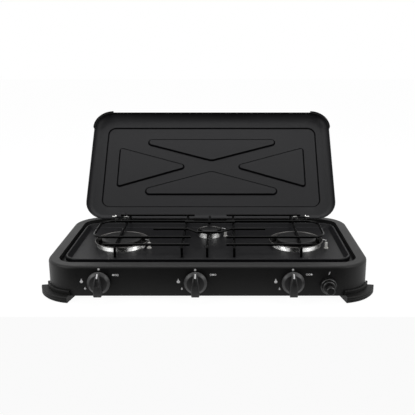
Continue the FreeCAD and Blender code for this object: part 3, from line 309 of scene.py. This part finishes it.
# %% Spun steel
def spun_steel(name, middle):
    material = bpy.data.materials.new(name)
    material.use_nodes = True
    tree = material.node_tree
    shader = tree.nodes["Principled BSDF"]
    shader.inputs["Metallic"].default_value = 1
    where = tree.nodes.new("ShaderNodeTexCoord")
    centre = tree.nodes.new("ShaderNodeMapping")
    centre.inputs["Location"].default_value = (-middle[0] * MM, -middle[1] * MM, 0)
    split = tree.nodes.new("ShaderNodeSeparateXYZ")
    flat = tree.nodes.new("ShaderNodeCombineXYZ")
    radius = tree.nodes.new("ShaderNodeVectorMath")
    radius.operation = "LENGTH"
    lathe = tree.nodes.new("ShaderNodeCombineXYZ")
    marks = tree.nodes.new("ShaderNodeTexNoise")
    marks.inputs["Scale"].default_value = 2200
    marks.inputs["Detail"].default_value = 2
    links = tree.links
    links.new(where.outputs["Object"], centre.inputs["Vector"])
    links.new(centre.outputs[0], split.inputs[0])
    links.new(split.outputs["X"], flat.inputs["X"])
    links.new(split.outputs["Y"], flat.inputs["Y"])
    links.new(flat.outputs[0], radius.inputs[0])
    links.new(radius.outputs["Value"], lathe.inputs["X"])
    links.new(split.outputs["Z"], lathe.inputs["Y"])
    links.new(lathe.outputs[0], marks.inputs["Vector"])
    tone = tree.nodes.new("ShaderNodeValToRGB")
    tone.color_ramp.elements[0].position = 0.3
    tone.color_ramp.elements[0].color = (0.62, 0.62, 0.61, 1)
    tone.color_ramp.elements[1].position = 0.7
    tone.color_ramp.elements[1].color = (0.8, 0.8, 0.79, 1)
    links.new(marks.outputs["Fac"], tone.inputs[0])
    facing = tree.nodes.new("ShaderNodeVectorMath")
    facing.operation = "DOT_PRODUCT"
    links.new(where.outputs["Normal"], facing.inputs[0])
    outward = tree.nodes.new("ShaderNodeVectorMath")
    outward.operation = "NORMALIZE"
    links.new(flat.outputs[0], outward.inputs[0])
    links.new(outward.outputs[0], facing.inputs[1])
    outside = tree.nodes.new("ShaderNodeMapRange")
    outside.inputs["From Min"].default_value = 0.1
    outside.inputs["From Max"].default_value = 0.35
    links.new(facing.outputs["Value"], outside.inputs["Value"])
    # Faces that don't look outward, the inside of each cup, take a near-black colour: painted shade.
    inner_shade = tree.nodes.new("ShaderNodeMix")
    inner_shade.data_type = "RGBA"
    inner_shade.inputs["A"].default_value = (0.03, 0.029, 0.028, 1)
    links.new(outside.outputs[0], inner_shade.inputs["Factor"])
    links.new(tone.outputs[0], inner_shade.inputs["B"])
    links.new(inner_shade.outputs["Result"], shader.inputs["Base Color"])
    rough = tree.nodes.new("ShaderNodeMapRange")
    rough.inputs["To Min"].default_value = 0.16
    rough.inputs["To Max"].default_value = 0.3
    links.new(marks.outputs["Fac"], rough.inputs["Value"])
    links.new(rough.outputs[0], shader.inputs["Roughness"])
    bump = tree.nodes.new("ShaderNodeBump")
    bump.inputs["Strength"].default_value = 0.12
    bump.inputs["Distance"].default_value = 0.0002
    links.new(marks.outputs["Fac"], bump.inputs["Height"])
    links.new(bump.outputs[0], shader.inputs["Normal"])
    return material


cup_steel = {name: spun_steel("spun steel " + name, middle) for name, middle in BURNERS.items()}

# %% [markdown]
# ## Finish the measured parts
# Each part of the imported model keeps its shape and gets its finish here.

# %% Paint the parts
FINISHES = {
    "casing": body_coat,
    "hob_tray": tray_enamel,
    "foot_screws": zinc_plate,
    "tap_nuts": zinc_plate,
    "gas_manifold": pipe_steel,
    "gas_inlet": turned_brass,
    "igniter_body": igniter_plastic,
    "igniter_collar": igniter_plastic,
    "igniter_button": igniter_plastic,
    "pan_support": wire_enamel,
    "lid_panel": lid_coat,
}
STEMS = {
    "foot_front": foot_rubber,
    "foot_back": foot_rubber,
    "lid_cap": cap_rubber,
    "hinge": zinc_plate,
    "hinge_leaf": lid_coat,
    "burner_head": burner_alloy,
    "burner_cap": cap_enamel,
    "mixing_tube": tap_alloy,
    "tap_body": tap_alloy,
    "injector": turned_brass,
    "tap_plug": turned_brass,
    "spindle": pipe_steel,
    "knob": knob_plastic,
    "electrode_tip": pipe_steel,
    "electrode": glazed_ceramic,
    "ignition_lead": silicone,
}


def finish_for(name):
    """The finish of a part, by its own name or by the start of it."""
    if name in FINISHES:
        return FINISHES[name]
    if name.startswith("burner_cup"):
        return cup_steel[name.split("_")[-1]]
    stem = max((stem for stem in STEMS if name.startswith(stem)), key=len)
    return STEMS[stem]


ENAMEL_THICKNESS = 0.2

for name, part in frame["nodes"].items():
    for slot in part.material_slots:
        slot.material = finish_for(name)
enamel_coat = frame["nodes"]["pan_support"].modifiers.new("enamel coat", "DISPLACE")
enamel_coat.strength = ENAMEL_THICKNESS * MM
enamel_coat.mid_level = 0
print("parts painted:", len(frame["nodes"]))

# %% [markdown]
# ## Pressed sheet
# The lid and the tray are each pressed from one sheet.  A ring of edges follows the press tool at each
# level, and the bands between the rings are the rolled edges, walls and creases.

# %% Sheet tools
CORNER_STEPS = 8
ARC_STEPS = 10


def outline_ring(bm, wide, deep, corner, middle, level):
    """The edges of a rounded rectangle at one level, with no face inside."""
    verts = bmesh.ops.create_grid(bm, x_segments=1, y_segments=1, size=0.5 * MM)["verts"]
    bmesh.ops.scale(bm, vec=(wide, deep, 1), verts=verts)
    bmesh.ops.translate(bm, vec=Vector((0, middle, level)) * MM, verts=verts)
    made = bmesh.ops.bevel(bm, geom=verts, affect="VERTICES", offset=corner * MM,
                           segments=CORNER_STEPS, profile=0.5)
    face = made["verts"][0].link_faces[0]
    edges = list(face.edges)
    bmesh.ops.delete(bm, geom=[face], context="FACES_ONLY")
    return edges


def bridge_rings(bm, rings):
    """Join each ring to the next with a band of faces."""
    for low, high in zip(rings, rings[1:]):
        bmesh.ops.bridge_loops(bm, edges=low + high)


def lathe(bm, profile, steps=64):
    """Turn a chain of (radius, height) points round the Z axis."""
    verts = [bm.verts.new((radius * MM, 0, height * MM)) for radius, height in profile]
    edges = [bm.edges.new(pair) for pair in zip(verts, verts[1:])]
    bmesh.ops.spin(bm, geom=verts + edges, cent=(0, 0, 0), axis=(0, 0, 1),
                   angle=2 * math.pi, steps=steps)
    bmesh.ops.remove_doubles(bm, verts=bm.verts, dist=1e-6)
    bmesh.ops.recalc_face_normals(bm, faces=bm.faces)


def make_piece(bm, name, body, finish, smooth=True):
    """Turn a mesh into a named piece that rides on a body."""
    for face in bm.faces:
        face.smooth = smooth
    mesh = bpy.data.meshes.new(name)
    bm.to_mesh(mesh)
    bm.free()
    mesh.materials.append(finish)
    piece = bpy.data.objects.new(name, mesh)
    bpy.context.scene.collection.objects.link(piece)
    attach(piece, body)
    return piece


def even_shading(piece):
    """Let the large faces of a piece set the shading at its soft edges."""
    even = piece.modifiers.new("even shading", "WEIGHTED_NORMAL")
    even.keep_sharp = True


def add_sheet_wall(piece, thickness):
    """Give a pressed skin the thickness of its sheet, on the side away from its normals."""
    wall = piece.modifiers.new("sheet", "SOLIDIFY")
    wall.thickness = thickness * MM
    wall.offset = -1
    wall.use_even_offset = True
    even_shading(piece)


# %% [markdown]
# The lid's border rolls over a large radius to a small curl at its edge.  Inside the border a crease
# lifts a flat panel, and four long triangles are pressed into that panel to stiffen it.

# %% Lid sheet
LID_WIDE = 531.6
LID_FRONT = 263.6
LID_REAR = 5
LID_CORNER = 40
LID_ROLL = 15.5
LID_TOP = 12
PANEL_WIDE = 470
PANEL_FRONT = 230.3
PANEL_REAR = 29.5
PANEL_CORNER = 17
PANEL_TOP = 14
LID_SHEET = 0.9
ROLL_STEPS = 12
HINGE_X = 191
NOTCH_HALF = 12
NOTCH_TOP = 7
REAR_CUT = -0.5
REAR_CUT_TOP = -1
REAR_ZONE = -25
LID_CURL = ((1.9, -2.9), (1.5, -3.7), (0.8, -4.05), (0.2, -3.85))
PANEL_CREASE = ((-1.5, 12.03), (-1, 12.15), (-0.55, 12.5), (0.35, 13.5), (0.8, 13.88), (1.3, 14))
RIB_CREASE = ((0.4, -0.07), (0.6, -0.5), (1.6, -1.76), (0.6, -0.4), (0.4, -0.07))
RIB_HALF_WIDTH = 1.8
TRIANGLES = (
    (((-187, -200), (187, -200), (0, -144.4)), (7.6, 7.6, 22)),
    (((190, -59.5), (-190, -59.5), (0, -117.5)), (8.3, 8.3, 22)),
    (((205.7, -178), (205.7, -78.2), (47.6, -129.6)), (5, 5, 6)),
    (((-205.7, -78.2), (-205.7, -178), (-47.6, -129.6)), (5, 5, 6)),
)
lid_joint = next(joint for joint in frame["record"]["behaviour"]["joints"]
                 if joint["name"] == "lid_hinge")
LID_PLACE = (Matrix.Translation(lid_joint["pos_m"])
             @ Matrix.Rotation(math.radians(lid_joint["range_deg"][0]), 4, "X"))


def grown(corners, by):
    """A triangle's corners moved out so that each side lies further out by the same amount."""
    points = [Vector(corner) for corner in corners]
    sides = [(points[(i + 1) % 3] - points[(i + 2) % 3]).length for i in range(3)]
    middle = sum((point * side for point, side in zip(points, sides)), Vector((0, 0))) / sum(sides)
    first, second = points[1] - points[0], points[2] - points[0]
    inner_radius = abs(first.x * second.y - first.y * second.x) / sum(sides)
    return [middle + (point - middle) * (1 + by / inner_radius) for point in points]


def rounded_triangle(bm, corners, radii, level):
    """A face bounded by a triangle with an arc at each corner, its corners anticlockwise."""
    points = [Vector((x, y, level)) * MM for x, y in corners]
    old = set(bm.edges)
    starts = []
    ends = []
    for index, (here, radius) in enumerate(zip(points, radii)):
        back = (points[index - 1] - here).normalized()
        ahead = (points[(index + 1) % 3] - here).normalized()
        half = back.angle(ahead) / 2
        centre = here + (back + ahead).normalized() * radius * MM / math.sin(half)
        start = bm.verts.new(here + back * radius * MM / math.tan(half))
        made = bmesh.ops.spin(bm, geom=[start], cent=centre, axis=(0, 0, 1),
                              angle=math.pi - 2 * half, steps=ARC_STEPS)
        starts.append(start)
        ends.append(made["geom_last"][0])
    for index, end in enumerate(ends):
        bm.edges.new((end, starts[(index + 1) % 3]))
    ring = [edge for edge in bm.edges if edge not in old]
    face = bmesh.ops.contextual_create(bm, geom=ring)["faces"][0]
    if face.normal.z < 0:
        face.normal_flip()
    return face


bm = bmesh.new()
lid_middle = (LID_REAR - LID_FRONT) / 2
lid_deep = LID_FRONT + LID_REAR


def lid_ring(inset, level):
    return outline_ring(bm, LID_WIDE - 2 * inset, lid_deep - 2 * inset, LID_CORNER - inset,
                        lid_middle, level)


def panel_ring(inset, level):
    return outline_ring(bm, PANEL_WIDE - 2 * inset, PANEL_FRONT - PANEL_REAR - 2 * inset,
                        PANEL_CORNER - inset, -(PANEL_FRONT + PANEL_REAR) / 2, level)


rings = [lid_ring(inset, level) for inset, level in LID_CURL]
for step in range(ROLL_STEPS + 1):
    turn = math.radians(90 * step / ROLL_STEPS)
    rings.append(lid_ring(LID_ROLL * (1 - math.cos(turn)), LID_TOP - LID_ROLL * (1 - math.sin(turn))))
bridge_rings(bm, rings)
coated_faces = set(bm.faces)
rings = [rings[-1]] + [panel_ring(inset, level) for inset, level in PANEL_CREASE]
bridge_rings(bm, rings[:2])
coated_faces |= set(bm.faces)
bridge_rings(bm, rings[1:])
for corners, radii in TRIANGLES:
    face = rounded_triangle(bm, grown(corners, RIB_HALF_WIDTH),
                            [radius + RIB_HALF_WIDTH for radius in radii], PANEL_TOP)
    for thickness, depth in RIB_CREASE:
        bmesh.ops.inset_region(bm, faces=[face], thickness=thickness * MM, depth=depth * MM,
                               use_boundary=True, use_even_offset=True)
    coated_faces.add(face)
# The crease and rib walls take slot 1, the darker coat that is painted shade; the rest keeps the plain
# lid coat.
for face in bm.faces:
    face.material_index = 0 if face in coated_faces else 1
panel_level = (PANEL_TOP - 0.01) * MM
field_edges = [edge for edge in bm.edges
               if edge.is_boundary and min(vert.co.z for vert in edge.verts) > panel_level]
bmesh.ops.triangle_fill(bm, use_beauty=True, edges=field_edges, normal=(0, 0, 1))


def split_rear(place, normal):
    """Cut the rear wall of the lid along a plane."""
    rear = [face for face in bm.faces if face.calc_center_median().y > REAR_ZONE * MM]
    geom = rear + list({edge for face in rear for edge in face.edges}
                       | {vert for face in rear for vert in face.verts})
    bmesh.ops.bisect_plane(bm, geom=geom, plane_co=Vector(place) * MM, plane_no=normal, dist=1e-7)


split_rear((0, REAR_CUT, 0), (0, 1, 0))
split_rear((0, 0, REAR_CUT_TOP), (0, 0, 1))
split_rear((0, 0, NOTCH_TOP), (0, 0, 1))
for side in (-HINGE_X, HINGE_X):
    for edge in (-NOTCH_HALF, NOTCH_HALF):
        split_rear((side + edge, 0, 0), (1, 0, 0))
cut_away = []
for face in bm.faces:
    spot = face.calc_center_median() / MM
    in_notch = abs(abs(spot.x) - HINGE_X) < NOTCH_HALF and spot.z < NOTCH_TOP
    if spot.y > REAR_CUT and (spot.z < REAR_CUT_TOP or in_notch):
        cut_away.append(face)
bmesh.ops.delete(bm, geom=cut_away, context="FACES")
bmesh.ops.recalc_face_normals(bm, faces=bm.faces)
if max(bm.faces, key=lambda face: face.calc_area()).normal.z < 0:
    bmesh.ops.reverse_faces(bm, faces=bm.faces)
bmesh.ops.transform(bm, matrix=LID_PLACE, verts=bm.verts)
lid_sheet = make_piece(bm, "lid_sheet", "lid", lid_coat)
# Slot 1 holds the painted shade for the crease walls.
lid_sheet.data.materials.append(crease_shade_coat)
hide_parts("lid_panel")
add_sheet_wall(lid_sheet, LID_SHEET)
print("lid sheet:", len(lid_sheet.data.polygons), "faces")

# %% [markdown]
# The tray has a flange that lies on the casing's ledge, a raised bead that keeps spills in, and a
# slope down to its flat floor.  Round holes let the burner necks and the electrodes through.

# %% Hob tray
TRAY_MIDDLE = -1.5
TRAY_FLOOR = 52
TRAY_WIDE = 518
TRAY_DEEP = 263
TRAY_CORNER = 29.5
TRAY_SHEET = 1
BEAD_WIDE = 505
BEAD_DEEP = 227
BEAD_CORNER = 29
BEAD_SECTION = ((-0.6, 52), (-0.15, 52.15), (0, 52.6), (0, 57.6), (0.25, 58.9), (0.95, 59.7),
                (2, 60), (3.1, 59.75), (3.9, 59.1), (4.4, 58.2), (8.6, 52.9), (9.3, 52.25),
                (10.2, 52))
NECKS = {"left": 16, "centre": 9, "right": 16}
ELECTRODES = {"left": (-111, -32), "centre": (31, 42), "right": (219, -32)}
ELECTRODE_HOLE = 2.6

bm = bmesh.new()
rings = [outline_ring(bm, TRAY_WIDE, TRAY_DEEP, TRAY_CORNER, TRAY_MIDDLE, TRAY_FLOOR)]
for inset, level in BEAD_SECTION:
    rings.append(outline_ring(bm, BEAD_WIDE - 2 * inset, BEAD_DEEP - 2 * inset, BEAD_CORNER - inset,
                              TRAY_MIDDLE, level))
bridge_rings(bm, rings)
floor_edges = list(rings[-1])
for name, (x, y) in BURNERS.items():
    for (hole_x, hole_y), radius in (((x, y), NECKS[name]), (ELECTRODES[name], ELECTRODE_HOLE)):
        place = Matrix.Translation(Vector((hole_x, hole_y, TRAY_FLOOR)) * MM)
        made = bmesh.ops.create_circle(bm, segments=48, radius=radius * MM, matrix=place)
        floor_edges += list({edge for vert in made["verts"] for edge in vert.link_edges})
bmesh.ops.triangle_fill(bm, use_beauty=True, edges=floor_edges, normal=(0, 0, 1))
bmesh.ops.recalc_face_normals(bm, faces=bm.faces)
if max(bm.faces, key=lambda face: face.calc_area()).normal.z < 0:
    bmesh.ops.reverse_faces(bm, faces=bm.faces)
tray_sheet = make_piece(bm, "tray_sheet", "stove", tray_enamel)
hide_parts("hob_tray")
add_sheet_wall(tray_sheet, TRAY_SHEET)
print("tray sheet:", len(tray_sheet.data.polygons), "faces")

# %% [markdown]
# Each knob is a disc with a sloped rim, and a grip bar that tapers to a point where its white mark
# is.  The grip is hollowed at that end.

# %% Knobs
TAPS = {"left": -182, "centre": -19, "right": 145}
SPINDLE_HEIGHT = 33.5
PANEL_Y = -155
KNOB_DISC = ((0, 8), (11, 8), (11, 4), (19, 4), (19.5, 4.5), (19.5, 6.4), (19.1, 7.3), (15.2, 10.6),
             (14.4, 11), (0, 11))
GRIP = ((-19.9, 12.6, 20.8), (-18.6, 13.5, 22), (-10, 13.4, 22), (-2, 12.6, 22), (5, 10.6, 22),
        (9.5, 9, 21.4), (13, 7.4, 19.2), (17, 5.8, 15.4), (19.5, 4.8, 12.4))
GRIP_BASE = 9
HOLLOW = (-2, 13)
HOLLOW_WALL = 1.7
HOLLOW_DEPTH = 1.6
GRIP_ROUND = 1.1
MARK_SIZE = (1.9, 8.6)
MARK_THICKNESS = 0.3
MARK_PLACE = (16.1, 16.6)
MARK_SLOPE = math.atan2(7.6, 7.4)

for name, x in TAPS.items():
    bm = bmesh.new()
    lathe(bm, KNOB_DISC)
    stations = []
    for along, wide, top in GRIP:
        quad = bmesh.ops.create_grid(bm, x_segments=1, y_segments=1, size=0.5 * MM)["verts"]
        bmesh.ops.scale(bm, vec=(wide, top - GRIP_BASE, 1), verts=quad)
        bmesh.ops.rotate(bm, cent=(0, 0, 0), matrix=Matrix.Rotation(math.radians(90), 3, "X"), verts=quad)
        bmesh.ops.translate(bm, vec=Vector((0, along, (top + GRIP_BASE) / 2)) * MM, verts=quad)
        stations.append(quad)
    ends = [stations[0][0].link_faces[0], stations[-1][0].link_faces[0]]
    middle_faces = [quad[0].link_faces[0] for quad in stations[1:-1]]
    loops = [list(quad[0].link_faces[0].edges) for quad in stations]
    bmesh.ops.delete(bm, geom=middle_faces, context="FACES_ONLY")
    grip_faces = list(ends)
    for low, high in zip(loops, loops[1:]):
        grip_faces += bmesh.ops.bridge_loops(bm, edges=low + high)["faces"]
    bmesh.ops.recalc_face_normals(bm, faces=grip_faces)
    hollow = [face for face in grip_faces
              if face.normal.z > 0.3 and HOLLOW[0] < face.calc_center_median().y / MM < HOLLOW[1]]
    long_edges = {edge for face in grip_faces for edge in face.edges
                  if abs((edge.verts[0].co - edge.verts[1].co).x) < 1.2 * MM
                  and edge.verts[0].co.z > 10 * MM and edge.verts[1].co.z > 10 * MM}
    rim_edges = [edge for edge in long_edges
                 if abs((edge.verts[0].co - edge.verts[1].co).y) > 0.5 * MM]
    rim_edges += [edge for edge in ends[0].edges
                  if edge not in rim_edges and max(vert.co.z for vert in edge.verts) > 10 * MM]
    for thickness, depth in ((HOLLOW_WALL, 0), (0.35, -HOLLOW_DEPTH)):
        bmesh.ops.inset_region(bm, faces=hollow, thickness=thickness * MM, depth=depth * MM,
                               use_even_offset=True)
    bmesh.ops.bevel(bm, geom=[edge for edge in rim_edges if edge.is_valid], affect="EDGES",
                    offset=GRIP_ROUND * MM, segments=3, profile=0.5, material=-1)
    place = (Matrix.Translation(Vector((x, PANEL_Y, SPINDLE_HEIGHT)) * MM)
             @ Matrix.Rotation(math.radians(90), 4, "X"))
    bmesh.ops.transform(bm, matrix=place, verts=bm.verts)
    knob = make_piece(bm, "knob_moulding_" + name, "knob_" + name, knob_plastic)
    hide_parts("knob_" + name)
    even_shading(knob)

    bm = bmesh.new()
    mark = bmesh.ops.create_grid(bm, x_segments=1, y_segments=1, size=0.5 * MM)["verts"]
    bmesh.ops.scale(bm, vec=(*MARK_SIZE, 1), verts=mark)
    bmesh.ops.bevel(bm, geom=list(mark), affect="VERTICES", offset=0.4 * MM, segments=3, profile=0.5)
    bmesh.ops.solidify(bm, geom=bm.faces[:], thickness=MARK_THICKNESS * MM)
    bmesh.ops.rotate(bm, cent=(0, 0, 0), matrix=Matrix.Rotation(-MARK_SLOPE, 3, "X"), verts=bm.verts)
    bmesh.ops.translate(bm, vec=Vector((0, *MARK_PLACE)) * MM, verts=bm.verts)
    bmesh.ops.transform(bm, matrix=place, verts=bm.verts)
    make_piece(bm, "knob_mark_" + name, "knob_" + name, white_print, smooth=False)
print("knobs made")

# %% [markdown]
# ## Panel prints
# Above each knob is a dot for shut, beside it a large and a small flame, and over the gap a row of
# three circles that shows which burner the knob serves.

# %% Panel prints
PRINT_PROUD = 0.1
FLAME_PINCH = 0.85
FLAME_STRETCH = 0.9
CIRCLE_PITCH = 3.7
CIRCLE_RADIUS = 1.75
CIRCLE_LINE = 0.75
OFF_DOTS = ((-181.8, 56.1), (-19.7, 54.9), (144.6, 55.2))
LARGE_FLAMES = ((-211.9, 35.5), (-48.3, 35.2), (116.1, 35.2))
SMALL_FLAMES = ((-206.4, 22), (-42.6, 21.4), (122.7, 21.2))
BURNER_ROWS = ((-154.1, 45.9), (10.3, 46.3), (172.2, 46.8))
SPARK = (206.1, 49)


def print_disc(bm, spot, radius, hollow=0.0, tall=1.0, drop=False):
    """A printed disc, ring or flame on the panel, round a spot given as X and Z."""
    before = set(bm.verts)
    made = bmesh.ops.create_circle(bm, cap_ends=True, segments=32, radius=radius * MM)
    verts = made["verts"]
    bmesh.ops.scale(bm, vec=(1, tall, 1), verts=verts)
    if drop:
        for vert in verts:
            rise = max(vert.co.y / (radius * MM), 0)
            vert.co.x *= 1 - FLAME_PINCH * rise
            vert.co.y *= 1 + FLAME_STRETCH * rise
    face = verts[0].link_faces[0]
    if hollow:
        bmesh.ops.inset_region(bm, faces=[face], thickness=hollow * MM, depth=0, use_boundary=True,
                               use_even_offset=True)
        bmesh.ops.delete(bm, geom=[face], context="FACES_ONLY")
    fresh = [vert for vert in bm.verts if vert not in before]
    bmesh.ops.rotate(bm, cent=(0, 0, 0), matrix=Matrix.Rotation(math.radians(90), 3, "X"), verts=fresh)
    bmesh.ops.translate(bm, vec=Vector((spot[0], PANEL_Y - PRINT_PROUD, spot[1])) * MM, verts=fresh)


bm = bmesh.new()
for spot in OFF_DOTS:
    print_disc(bm, spot, 1.9)
for x, z in LARGE_FLAMES:
    print_disc(bm, (x, z - 1.2), 2.9, drop=True)
for x, z in SMALL_FLAMES:
    print_disc(bm, (x, z - 0.5), 1.7, drop=True)
for order, (x, z) in enumerate(BURNER_ROWS):
    for place in range(3):
        line = 0.0 if place == order else CIRCLE_LINE
        print_disc(bm, (x + CIRCLE_PITCH * (place - 1), z), CIRCLE_RADIUS, hollow=line)
for part in range(3):
    print_disc(bm, (SPARK[0] + 0.5 * (1 - part), SPARK[1] + 1.3 * (1 - part)), 0.9, tall=1.3)
bmesh.ops.recalc_face_normals(bm, faces=bm.faces)
for face in bm.faces:
    if face.normal.y > 0:
        face.normal_flip()
prints = make_piece(bm, "panel_prints", "stove", white_print, smooth=False)
print("panel prints:", len(prints.data.polygons), "faces")

# %% [markdown]
# ## Burners
# The caps are enamelled castings with soft shoulders, and each cup ends in a rolled rim.

# %% Caps and rims
HEAD_RADII = {"left": 37, "centre": 17, "right": 37}
CUPS = {"left": (50.6, 61.4), "centre": (24.8, 63), "right": (50.6, 61.4)}
HEAD_TOP = 62.4
CAP_SHOULDER = ((0.5, -0.05), (0.5, 0.9), (0.15, 1.9), (-0.8, 2.9), (-2.6, 3.5), (-7, 3.85))
CAP_SKIRT = ((-4.5, 0), (-4.5, -1.6), (-2.6, -1.6), (-2.6, 0))
CAP_TOP = 4
RIM_BEAD = 0.7

for name, (x, y) in BURNERS.items():
    head = HEAD_RADII[name]
    bm = bmesh.new()
    profile = [(0, 0)]
    profile += [(head + out, level) for out, level in CAP_SKIRT]
    profile += [(head + out, level) for out, level in CAP_SHOULDER]
    profile += [(0, CAP_TOP)]
    lathe(bm, profile, 80)
    bmesh.ops.translate(bm, vec=Vector((x, y, HEAD_TOP)) * MM, verts=bm.verts)
    cap = make_piece(bm, "burner_lid_" + name, "stove", cap_enamel)
    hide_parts("burner_cap_" + name)
    even_shading(cap)

    radius, top = CUPS[name]
    bm = bmesh.new()
    place = (Matrix.Translation(Vector((radius - 0.4, 0, top - 0.3)) * MM)
             @ Matrix.Rotation(math.radians(90), 4, "X"))
    section = bmesh.ops.create_circle(bm, segments=12, radius=RIM_BEAD * MM, matrix=place)
    ring_edges = list({edge for vert in section["verts"] for edge in vert.link_edges})
    bmesh.ops.spin(bm, geom=section["verts"] + ring_edges, cent=(0, 0, 0), axis=(0, 0, 1),
                   angle=2 * math.pi, steps=96)
    bmesh.ops.remove_doubles(bm, verts=bm.verts, dist=1e-6)
    bmesh.ops.recalc_face_normals(bm, faces=bm.faces)
    bmesh.ops.translate(bm, vec=Vector((x, y, 0)) * MM, verts=bm.verts)
    make_piece(bm, "cup_rim_" + name, "stove", dark_rim_steel)
print("burner caps and rims made")

# %% [markdown]
# The support's wires are welded where they cross, which leaves a small lump at each joint.

# %% Weld lumps
WELD_HEIGHT = 72.3
LUMP_RADIUS = 2.1
LUMP_SHAPE = (1.3, 1.3, 0.75)
CROSSINGS = [(side * x, y) for side in (-1, 1) for x in (47, 167) for y in (-77.5, -33, 74, 119)]
CROSSINGS += [(-47, 19), (47, 19), (-47, 68), (47, 68), (-1.5, -2.5), (-1.5, 68)]

bm = bmesh.new()
for x, y in CROSSINGS:
    lump = bmesh.ops.create_icosphere(bm, subdivisions=2, radius=LUMP_RADIUS * MM)["verts"]
    bmesh.ops.scale(bm, vec=LUMP_SHAPE, verts=lump)
    bmesh.ops.translate(bm, vec=Vector((x, y, WELD_HEIGHT)) * MM, verts=lump)
make_piece(bm, "support_welds", "pan_support", wire_enamel)
print("weld lumps:", len(CROSSINGS))
